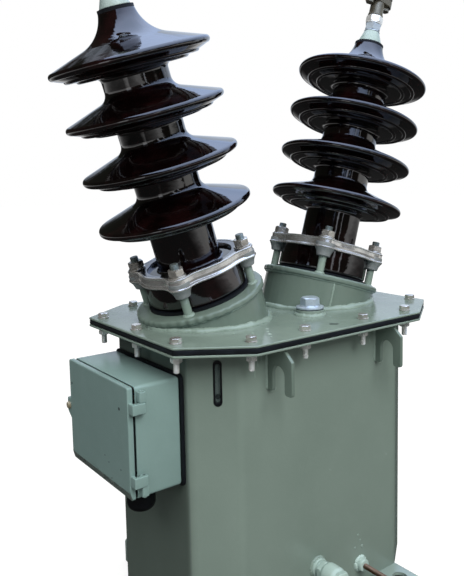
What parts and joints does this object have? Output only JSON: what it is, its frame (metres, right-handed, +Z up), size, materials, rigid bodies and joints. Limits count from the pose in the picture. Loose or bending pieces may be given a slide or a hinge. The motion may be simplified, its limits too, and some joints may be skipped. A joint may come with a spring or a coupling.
{
  "type": "outdoor voltage transformer",
  "caption": "Oil-filled outdoor voltage transformer: bevelled tank on feet, two raked porcelain bushings on turrets, and a terminal box with a hinged door.",
  "frame": {"origin": "on the floor under the middle of the tank, in the plane of the feet's undersides", "axes": "+Z up; X runs along the tank through both bushings, -X towards the terminal box; -Y faces the drain and earth fittings"},
  "size_m": [0.6228, 0.396, 0.9563],
  "materials": {
    "tank_paint": "sage grey-green gloss enamel, brushed on over welds",
    "box_paint": "paler blue-green gloss enamel",
    "cap_paint": "pale grey-green gloss enamel",
    "black_rubber": "black nitrile rubber",
    "black_plastic": "black moulded rubber-like plastic",
    "brown_porcelain": "very dark brown glossy glaze",
    "zinc_hardware": "bright zinc-plated and stainless fasteners",
    "cast_aluminium": "bright cast aluminium",
    "tinned_bronze": "dull tinned bronze",
    "tarnished_bronze": "brown tarnished bronze thread",
    "brass": "bright brass screw",
    "gauge_glass": "grey oil-gauge glass",
    "terminal_board": "brown resin board with brass studs"
  },
  "bodies": {
    "transformer": {"foot_left": "tank_paint", "foot_right": "tank_paint", "tank_bottom": "tank_paint", "tank_wall": "tank_paint", "tank_flange": "tank_paint", "lid_gasket": "black_rubber", "lid": "tank_paint", "lid_bolts": "zinc_hardware", "turret_left": "tank_paint", "turret_right": "tank_paint", "seat_ring_left": "black_rubber", "seat_ring_right": "black_rubber", "porcelain_left": "brown_porcelain", "porcelain_right": "brown_porcelain", "clamp_ring_left": "cast_aluminium", "clamp_ring_right": "cast_aluminium", "clamp_studs_left": "zinc_hardware", "clamp_studs_right": "zinc_hardware", "cap_ring_left": "black_rubber", "cap_ring_right": "black_rubber", "cap_left": "cap_paint", "cap_right": "cap_paint", "stem_left": "zinc_hardware", "stem_right": "zinc_hardware", "connector_left": "tinned_bronze", "connector_right": "tinned_bronze", "keeper_left": "tinned_bronze", "keeper_right": "tinned_bronze", "hooks": "tank_paint", "filler_boss": "tank_paint", "filler_plug": "zinc_hardware", "gauge_surround": "black_rubber", "gauge_glass": "gauge_glass", "gauge_float": "black_rubber", "box_backing": "black_rubber", "terminal_box": "box_paint", "hinge_pins": "zinc_hardware", "terminal_board": "terminal_board", "cable_gland": "black_plastic", "drain_valve": "tank_paint", "earth_boss": "tank_paint", "earth_stud": "tarnished_bronze"},
    "door": {"box_door": "box_paint", "door_gasket": "black_rubber", "door_lock": "brass"}
  },
  "joints": [
    {"name": "door_hinge", "type": "hinge", "parent": "transformer", "child": "door", "pos_m": [-0.2577, -0.089, 0.3205], "axis": [0, 0, 1], "range_deg": [0, 110]}
  ]
}
